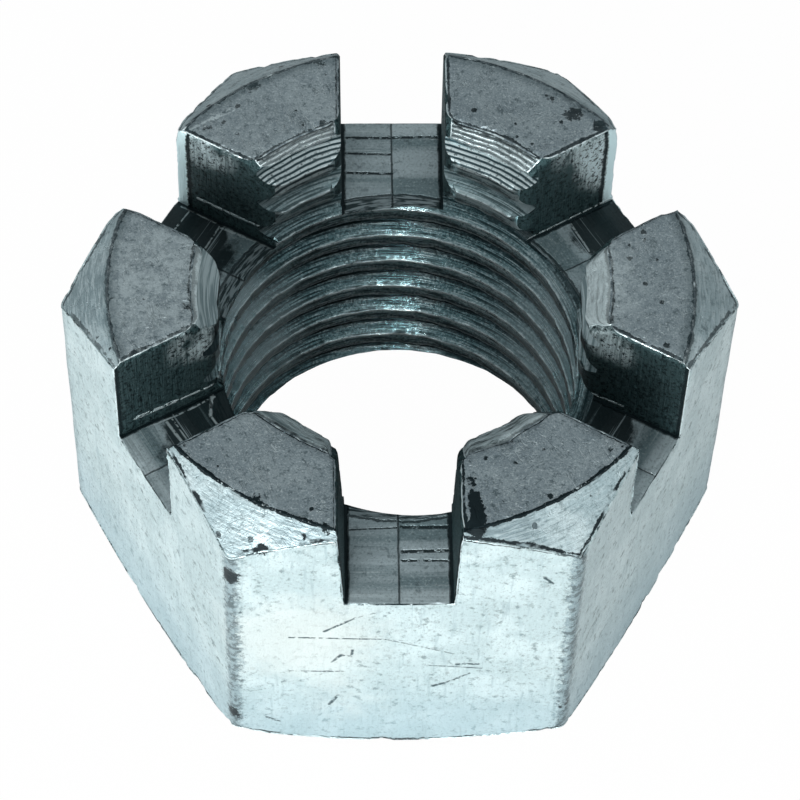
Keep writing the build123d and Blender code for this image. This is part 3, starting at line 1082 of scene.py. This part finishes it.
    def slot_wall(self):
        """Bare steel, near black partly as painted shade of the slot, scraped upright, paler towards the outside as
        painted light, and pale beyond a ragged black line at the flats, partly as painted highlight at the back.
        """
        w, place = self.start("slot_wall")
        rubbed_and_lit = self.finish.rubbed_and_lit
        upright = w.noise(w.stretched(place, (4.2, 4.2, 0.24)), 1.0, 4, 0.75)
        crumbs = w.noise(place, 3.0, 4, 0.8)
        cloud = w.noise(place, 0.55, 3, 0.6)
        # Painted light: paler upright stretches towards the walls' outer ends and tops
        scraped = w.attribute("scraped")
        lit = w.clip(w.times(scraped, w.ramp(cloud, 0.34, 0.52)))
        shown = w.times(w.ramp(upright, 0.38, 0.58, 0.25, 1.0), w.plus(w.times(lit, 0.85), 0.03))
        # The walls' near black steel is partly painted shade of the slots
        colour = w.tint(self.finish.slot_wall, (0.56, 0.68, 0.70), shown)
        # Painted light: where it is strongest the walls turn pale
        worn = w.times(w.ramp(scraped, 1.0, 2.3), w.ramp(upright, 0.30, 0.55, 0.55, 0.95))
        colour = w.tint(colour, (0.62, 0.76, 0.79), worn)
        speckle = w.times(w.ramp(crumbs, 0.56, 0.70), w.ramp(cloud, 0.42, 0.56, 0.10, 0.55))
        colour = w.tint(colour, (0.20, 0.29, 0.31), speckle)
        colour = w.tint(colour, (0.006, 0.015, 0.018), w.ramp(crumbs, 0.50, 0.40))

        # The ragged outer end, wider at the back
        rear = self.rear_sides()
        rim = w.plus(w.attribute("hyperbola"), w.sway(crumbs, 0.7))
        inside = w.minus(rim, w.plus(w.times(rear, 1.05), 0.3))
        colour = w.tint(colour, DIRT_AND_SHADE_BLACK, w.ramp(inside, 0.3, 0.1))
        # The pale outer edge is worn, and at the back it is partly painted highlight
        pale = w.blend(rear, self.finish.flat, WORN_AND_LIT_PALE)
        colour = w.tint(colour, pale, w.ramp(inside, -0.15, -0.35))

        burr = w.minus(w.part(place, 2), w.times(crumbs, 0.3))
        burr = w.ramp(burr, self.size.height - 0.38, self.size.height - 0.26)
        colour = w.tint(colour, rubbed_and_lit, burr, 0.9)
        ridges = self.scratches(WALL_RIDGES)
        colour = w.tint(colour, rubbed_and_lit, ridges, 0.85)
        height = w.plus(upright, w.times(crumbs, 0.4), ridges)
        return self.finish_off(colour, 0.5, height, 0.12, 0.8, 0.2)

    def slot_floor(self):
        """Two passes of the cutter side by side, with chatter across them."""
        w, place = self.start("slot_floor")
        rubbed_and_lit = self.finish.rubbed_and_lit
        along, across = w.attribute("along"), w.attribute("across")
        half = w.ramp(across, -0.02, 0.02)
        line = w.compose(along, w.times(half, 7.3), w.times(across, 0.03))
        bands = w.noise(line, 0.45, 2, 0.6)
        rows = w.noise(line, 2.6, 2, 0.7)
        blotch = w.noise(place, 1.2, 4, 0.65)
        grain = w.noise(place, 5.0, 3, 0.7)
        colour = w.blend(w.ramp(bands, 0.36, 0.62), (0.20, 0.28, 0.30), self.finish.slot_floor)
        colour = w.tint(colour, (0.03, 0.05, 0.06), w.ramp(rows, 0.36, 0.28), 0.6)
        colour = w.tint(colour, rubbed_and_lit, w.ramp(rows, 0.64, 0.72), 0.5)
        colour = w.tint(colour, DULL_STEEL, w.ramp(blotch, 0.44, 0.32), 0.45)
        colour = w.tint(colour, rubbed_and_lit, w.ramp(along, 21.5, 22.2), 0.3)
        colour = w.tint(colour, (0.05, 0.09, 0.10), w.ramp(grain, 0.47, 0.36), 0.35)
        colour = w.tint(colour, rubbed_and_lit, w.ramp(grain, 0.55, 0.66), 0.30)

        # The strip beside the bore, which is turned
        inner = w.plus(w.attribute("depth"), w.sway(blotch, 0.5))
        turned = w.blend(w.ramp(self.streaks(9.0, 6.0), 0.44, 0.56), DARK_STEEL, (0.27, 0.34, 0.36))
        colour = w.tint(colour, turned, w.ramp(inner, 1.35, 1.2))

        # Painted shade: black stretches on the floors of the slanted slots, broken up along the cutter's lines
        floor_shade = w.plus(w.attribute("floor_shade"), w.sway(blotch, 1.2))
        streaky = w.ramp(w.noise(line, 1.6, 3, 0.7), 0.60, 0.66, 1.0, 0.35)
        colour = w.tint(colour, DIRT_AND_SHADE_BLACK, w.ramp(floor_shade, 0.15, 0.62), streaky, 0.95)
        colour = w.tint(colour, rubbed_and_lit, self.scratches(FLOOR_RIDGES), 0.6)
        chatter = self.scratches(FLOOR_LINES)
        seam = w.ramp(w.magnitude(w.plus(across, w.sway(blotch, 0.12))), 0.09, 0.04)
        rim = w.ramp(w.plus(w.attribute("slot"), w.times(blotch, 0.35)), -0.2, 0.0)
        groove = w.ramp(w.magnitude(w.minus(inner, 1.42)), 0.16, 0.06)
        dark = w.highest(w.times(seam, 0.7), rim, w.times(chatter, 0.95), w.times(groove, 0.8))
        colour = w.tint(colour, SOOT, dark)
        height = w.minus(w.plus(bands, w.times(rows, 0.5)), dark)
        return self.finish_off(colour, 0.45, height, 0.10, 0.6, 0.3)

    def thread(self):
        """Dark steel with fine lines around it, roots blackened and crests darkened below as painted shade, and a
        painted highlight line along each crest's edges.
        """
        w, place = self.start("thread")
        size, rubbed_and_lit, top = self.size, self.finish.rubbed_and_lit, self.size.height
        spot = w.group(self.thread_place, Position=place, Pitch=size.thread_pitch, Start=size.thread_start)
        z = w.part(place, 2)
        streaks = w.noise(spot["Along"], 1.0, 3, 0.6)
        torn = w.noise(place, 3.0, 4, 0.75)
        grain = w.noise(place, 5.0, 2, 0.6)
        wander = w.sway(w.noise(place, 1.1, 3, 0.6), 0.22)
        depth = w.plus(w.attribute("depth"), w.sway(torn, 1.6))
        half = size.thread_pitch / 2
        # Painted shade: each crest lighter in its upper half and dark in its lower half
        up_crest = w.math("WRAP", w.plus(spot["Height"], half), half, -half)
        shaded = w.ramp(w.plus(up_crest, w.sway(torn, 1.4)), -0.42, 0.12)
        crest = w.blend(shaded, (0.050, 0.085, 0.095), self.finish.crest)
        colour = w.blend(w.ramp(depth, 0.05, 0.45), crest, self.finish.flank)
        colour = w.tint(colour, rubbed_and_lit, w.ramp(streaks, 0.52, 0.64), 0.35)
        colour = w.tint(colour, rubbed_and_lit, w.ramp(grain, 0.54, 0.66), 0.30)
        colour = w.tint(colour, THREAD_BLACK, w.ramp(streaks, 0.50, 0.40), 0.85)
        colour = w.tint(colour, THREAD_BLACK, w.ramp(grain, 0.46, 0.36), 0.55)
        # Painted light: lighter stretches on the bore's sides
        colour = w.tint(colour, (0.30, 0.38, 0.40), w.clip(w.times(w.attribute("painted_light"), 0.55)))
        by_slots = w.ramp(z, size.slot_floor - 0.5, size.slot_floor + 2.0)
        colour = w.tint(colour, (0.40, 0.50, 0.52), by_slots, w.ramp(streaks, 0.44, 0.60, 0.15, 0.75))
        # Painted shade: the roots turn black, less near the slots
        root = w.times(w.ramp(depth, 0.72, 1.05), w.ramp(by_slots, 0.0, 1.0, 0.75, 0.45))
        colour = w.tint(colour, (0.008, 0.020, 0.024), root)
        colour = w.tint(colour, (0.012, 0.026, 0.030), w.ramp(torn, 0.40, 0.34), 0.5)

        # Painted highlight: a bright line along each crest's edges
        on_crest = w.ramp(w.attribute("depth"), 0.35, 0.2)
        edge = (size.thread_pitch - size.crest_width) / 2
        for shift, strength in ((-edge - 0.08, 0.75), (edge + 0.06, 0.2)):
            away = w.magnitude(w.plus(w.minus(spot["Height"], shift), wander))
            line = w.times(w.ramp(away, 0.17, 0.06), w.ramp(torn, 0.36, 0.46))
            colour = w.tint(colour, rubbed_and_lit, line, on_crest, strength)

        # The run-out at the top of the lugs: scraped bright over a black foot, partly a groove and partly painted
        # shadow, and into fine ribs at the back
        back = self.back()
        foot = w.plus(w.ramp(w.part(place, 0), -5.0, 5.0, top - 2.0, top - 3.8), wander)
        bright = w.blend(w.ramp(streaks, 0.42, 0.58), (0.26, 0.35, 0.37), (0.55, 0.67, 0.69))
        side = w.blend(w.ramp(w.minus(z, foot), -0.1, 0.1), (0.010, 0.024, 0.028), bright)
        side_run = w.ramp(w.plus(z, w.times(torn, 1.5)), top - 5.2, top - 4.6)
        colour = w.tint(colour, side, side_run, w.minus(0.9, w.times(back, 0.9)))
        ribs = self.ribbing()
        ribbed = w.blend(w.ramp(ribs, 0.15, 0.75), (0.03, 0.06, 0.07), rubbed_and_lit)
        ribbed = w.tint(ribbed, DULL_STEEL, w.ramp(torn, 0.46, 0.36), 0.8)
        run_out = w.ramp(w.plus(z, w.times(wander, 2.0)), top - 3.7, top - 3.3)
        colour = w.tint(colour, ribbed, run_out, back, 0.9)
        height = w.plus(streaks, w.times(ribs, run_out, w.times(back, 0.6)))
        roughness = w.highest(w.ramp(streaks, 0.3, 0.7, 0.18, 0.28), w.times(by_slots, 0.4))
        return self.finish_off(colour, roughness, height, 0.014, 0.95, 0.2)

    def countersink(self):
        """Mid grey, scraped around with light lines, torn into ribs at the back, and lighter in patches of painted
        light.
        """
        w, place = self.start("countersink")
        rubbed_and_lit, back, ribs = self.finish.rubbed_and_lit, self.back(), self.ribbing()
        coat = self.coat(self.finish.countersink, 0.5, 0.8, 0.7, 0.4, 0.3)
        streaks = self.streaks(9.0, 3.2)
        torn = w.noise(place, 2.2, 4, 0.75)
        colour = w.tint(coat["Colour"], rubbed_and_lit, w.ramp(streaks, 0.50, 0.60), 0.6)
        colour = w.tint(colour, DARK_STEEL, w.ramp(streaks, 0.47, 0.37), 0.8)
        ribbed = w.blend(w.ramp(ribs, 0.05, 0.50), DULL_STEEL, rubbed_and_lit)
        ribbed = w.tint(ribbed, (0.06, 0.10, 0.11), w.ramp(torn, 0.48, 0.38), 0.8)
        colour = w.tint(colour, ribbed, back, 0.85)
        upper = w.ramp(w.plus(w.attribute("mouth"), w.sway(torn, 0.5)), -0.32, -0.18)
        colour = w.tint(colour, self.finish.dirt, upper, self.front(0.5, 0.95))
        # Painted light: lighter patches on the countersinks
        colour = w.tint(colour, rubbed_and_lit, w.clip(w.times(w.attribute("painted_light"), 1.6)))
        height = w.plus(streaks, coat["Height"], w.times(ribs, back))
        return self.finish_off(colour, 0.4, height, 0.15, 0.7, 0.3)

    def edge(self):
        """Worn edges: black around the end faces, pale on the outside and grey at the slots and the bore."""
        w, place = self.start("edge")
        rubbed_and_lit = self.finish.rubbed_and_lit
        patch = w.noise(place, 0.9, 4, 0.75)
        inside = w.ramp(w.attribute("hyperbola"), 0.35, 0.7)
        colour = w.blend(inside, self.finish.flat, self.finish.end_face)
        colour = w.tint(colour, rubbed_and_lit, w.ramp(patch, 0.50, 0.60), 0.75)
        colour = w.tint(colour, (0.03, 0.05, 0.056), w.ramp(patch, 0.48, 0.40), 0.85)
        by_slot = w.ramp(w.magnitude(w.attribute("slot")), 0.5, 0.3)
        burr = w.times(by_slot, w.ramp(w.attribute("across"), 3.4, 3.8), w.ramp(patch, 0.36, 0.42))
        colour = w.tint(colour, rubbed_and_lit, burr, 0.9)
        by_arc = w.times(w.ramp(w.magnitude(w.attribute("arc")), 0.5, 0.25), self.front(1.0, 0.6))
        colour = w.tint(colour, self.finish.dirt, by_arc, w.ramp(patch, 0.66, 0.58))
        return self.finish_off(colour, 0.42, patch, 0.15, 0.6, 0.3)


class ZincFinish(bpy.types.PropertyGroup):
    """Colours of the nut"""

    end_face: bpy.props.FloatVectorProperty(
        name="End faces", description="Plating on the lugs' tops and the bearing face",
        subtype="COLOR", default=(0.228, 0.288, 0.316), min=0, max=1)
    chamfer: bpy.props.FloatVectorProperty(
        name="Chamfers", description="Plating on the turned chamfers",
        subtype="COLOR", default=(0.395, 0.515, 0.545), min=0, max=1)
    flat: bpy.props.FloatVectorProperty(
        name="Flats", description="Plating on the six flats",
        subtype="COLOR", default=(0.475, 0.595, 0.61), min=0, max=1)
    # Near black, partly as painted shade of the slots
    slot_wall: bpy.props.FloatVectorProperty(
        name="Slot walls", description="Steel of the slots' walls",
        subtype="COLOR", default=(0.036, 0.074, 0.079), min=0, max=1)
    slot_floor: bpy.props.FloatVectorProperty(
        name="Slot floors", description="Steel of the slots' floors",
        subtype="COLOR", default=(0.44, 0.54, 0.57), min=0, max=1)
    crest: bpy.props.FloatVectorProperty(
        name="Thread", description="Steel of the thread's crests",
        subtype="COLOR", default=(0.20, 0.315, 0.335), min=0, max=1)
    flank: bpy.props.FloatVectorProperty(
        name="Thread flanks", description="Steel of the thread's sloping sides",
        subtype="COLOR", default=(0.125, 0.22, 0.24), min=0, max=1)
    countersink: bpy.props.FloatVectorProperty(
        name="Countersinks", description="Steel of the countersinks",
        subtype="COLOR", default=(0.48, 0.59, 0.61), min=0, max=1)
    # Bright metal for worn marks, also used for painted light and highlights
    rubbed_and_lit: bpy.props.FloatVectorProperty(
        name="Rubbed metal", description="Bright metal where the nut is rubbed",
        subtype="COLOR", default=(0.70, 0.82, 0.84), min=0, max=1)
    dirt: bpy.props.FloatVectorProperty(
        name="Dirt", description="Black dirt along the edges",
        subtype="COLOR", default=(0.007, 0.017, 0.021), min=0, max=1)


class StageLook(bpy.types.PropertyGroup):
    """Light and floor"""

    key_power: bpy.props.FloatProperty(
        name="Key light", description="Power of the lamp at the front left", default=2.2, unit="POWER")
    fill_power: bpy.props.FloatProperty(
        name="Fill light", description="Power of the lamp at the front right", default=0.22, unit="POWER")
    top_power: bpy.props.FloatProperty(
        name="Top light", description="Power of the small lamp above the front", default=0.11, unit="POWER")
    floor: bpy.props.FloatVectorProperty(
        name="Floor", description="Colour of the floor",
        subtype="COLOR", default=(0.85, 0.85, 0.85), min=0, max=1)
    room: bpy.props.FloatVectorProperty(
        name="Room", description="Colour of the light from the room",
        subtype="COLOR", default=(0.34, 0.36, 0.37), min=0, max=1)


def lay_floor(scene, look):
    """A matt floor that the camera sees as nearly white."""
    bm = bmesh.new()
    bmesh.ops.create_grid(bm, x_segments=1, y_segments=1, size=0.5)
    mesh = bpy.data.meshes.new("floor")
    bm.to_mesh(mesh)
    bm.free()
    floor = bpy.data.objects.new("floor", mesh)
    scene.collection.objects.link(floor)
    material = bpy.data.materials.new("floor")
    material.use_nodes = True
    w = Wiring(material.node_tree)
    shader = w.tree.nodes["Principled BSDF"]
    w.feed(shader.inputs["Base Color"], look.floor)
    shader.inputs["Roughness"].default_value = 1
    white = w.node("Emission", {"Color": (1.0, 1.0, 1.0), "Strength": 1.0}).outputs[0]
    whiteness = 0.985
    shown = w.times(w.node("LightPath").outputs["Is Camera Ray"], whiteness)
    mix = w.node("MixShader", {0: shown, 1: shader.outputs[0], 2: white})
    w.feed(w.tree.nodes["Material Output"].inputs["Surface"], mix.outputs[0])
    mesh.materials.append(material)


def set_lights(scene, look):
    """The light from the room, and square lamps that face the nut: name, place, power and width."""
    world = bpy.data.worlds.new("studio")
    scene.world = world
    world.use_nodes = True
    world.node_tree.nodes["Background"].inputs[0].default_value = (*look.room, 1)
    for name, place, power, width in (("key", (-0.17, -0.39, 0.16), look.key_power, 0.2),
                                      ("fill", (0.22, -0.31, 0.22), look.fill_power, 0.2),
                                      ("top", (0.02, -0.24, 0.40), look.top_power, 0.03)):
        lamp = bpy.data.lights.new(name, "AREA")
        lamp.energy, lamp.size = power, width
        made = bpy.data.objects.new(name, lamp)
        made.location = place
        made.rotation_euler = Vector(place).to_track_quat("Z", "Y").to_euler()
        scene.collection.objects.link(made)


def set_camera(scene, unit):
    """The photo's camera as it was fitted, with its lengths in widths across the flats and its focal in pixels."""
    azimuth, elevation, roll = math.radians(-2.5992), math.radians(56.8896), math.radians(2.0388)
    distance, focal, shift_x, shift_y = 6.4878, 3669.4848, 0.0055, 0.0204
    photo_width, aim = 800, Vector((0, 0, 0.3))
    backward = Vector((math.sin(azimuth) * math.cos(elevation), -math.cos(azimuth) * math.cos(elevation),
                       math.sin(elevation)))
    right = Vector((math.cos(azimuth), math.sin(azimuth), 0))
    up = backward.cross(right)
    right, up = (math.cos(roll) * right + math.sin(roll) * up, -math.sin(roll) * right + math.cos(roll) * up)
    camera = bpy.data.cameras.new("camera")
    camera.lens = focal / photo_width * camera.sensor_width
    camera.clip_start = 0.01
    view = bpy.data.objects.new("camera", camera)
    place = aim + shift_x * right + shift_y * up + distance * backward
    view.matrix_world = Matrix.Translation(place * unit) @ Matrix((right, up, backward)).transposed().to_4x4()
    scene.collection.objects.link(view)
    scene.camera = view


class OBJECT_OT_castle_nut(bpy.types.Operator):
    """Builds the nut"""

    bl_idname = "mesh.castle_nut_build"
    bl_label = "Build nut"

    def execute(self, context):
        shape = context.scene.nut_shape
        paint = Paint(context.scene.zinc_finish, in_mm(shape))
        materials = [getattr(paint, zone)() for zone in ZONES]
        mesh = build_nut_mesh(shape, context.scene.nut_wear, materials)
        nut = bpy.data.objects.new("nut_body", mesh)
        context.scene.collection.objects.link(nut)
        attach(nut, "root")
        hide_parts("castle_nut")
        return {"FINISHED"}


class OBJECT_OT_nut_stage(bpy.types.Operator):
    """Sets the floor, the light and the camera"""

    bl_idname = "scene.castle_nut_stage"
    bl_label = "Set stage"

    def execute(self, context):
        scene = context.scene
        lay_floor(scene, scene.stage_look)
        set_lights(scene, scene.stage_look)
        set_camera(scene, scene.nut_shape.across_flats)
        scene.view_settings.view_transform = "Standard"
        return {"FINISHED"}


class VIEW3D_PT_castle_nut(bpy.types.Panel):
    """Castle nut"""

    bl_label = "Castle nut"
    bl_space_type = "VIEW_3D"
    bl_region_type = "UI"
    bl_category = "Castle nut"

    def draw(self, context):
        scene = context.scene
        for group in (scene.nut_shape, scene.nut_wear, scene.zinc_finish, scene.stage_look):
            for name in group.__annotations__:
                self.layout.prop(group, name)
        self.layout.operator("mesh.castle_nut_build")
        self.layout.operator("scene.castle_nut_stage")


CLASSES = (NutShape, NutWear, ZincFinish, StageLook, OBJECT_OT_castle_nut, OBJECT_OT_nut_stage, VIEW3D_PT_castle_nut)


def register():
    for each in CLASSES:
        bpy.utils.register_class(each)
    bpy.types.Scene.nut_shape = bpy.props.PointerProperty(type=NutShape)
    bpy.types.Scene.nut_wear = bpy.props.PointerProperty(type=NutWear)
    bpy.types.Scene.zinc_finish = bpy.props.PointerProperty(type=ZincFinish)
    bpy.types.Scene.stage_look = bpy.props.PointerProperty(type=StageLook)


def unregister():
    del bpy.types.Scene.stage_look
    del bpy.types.Scene.zinc_finish
    del bpy.types.Scene.nut_wear
    del bpy.types.Scene.nut_shape
    for each in reversed(CLASSES):
        bpy.utils.unregister_class(each)


def main():
    register()
    bpy.ops.mesh.castle_nut_build()
    bpy.ops.scene.castle_nut_stage()


if __name__ == "__main__":
    main()
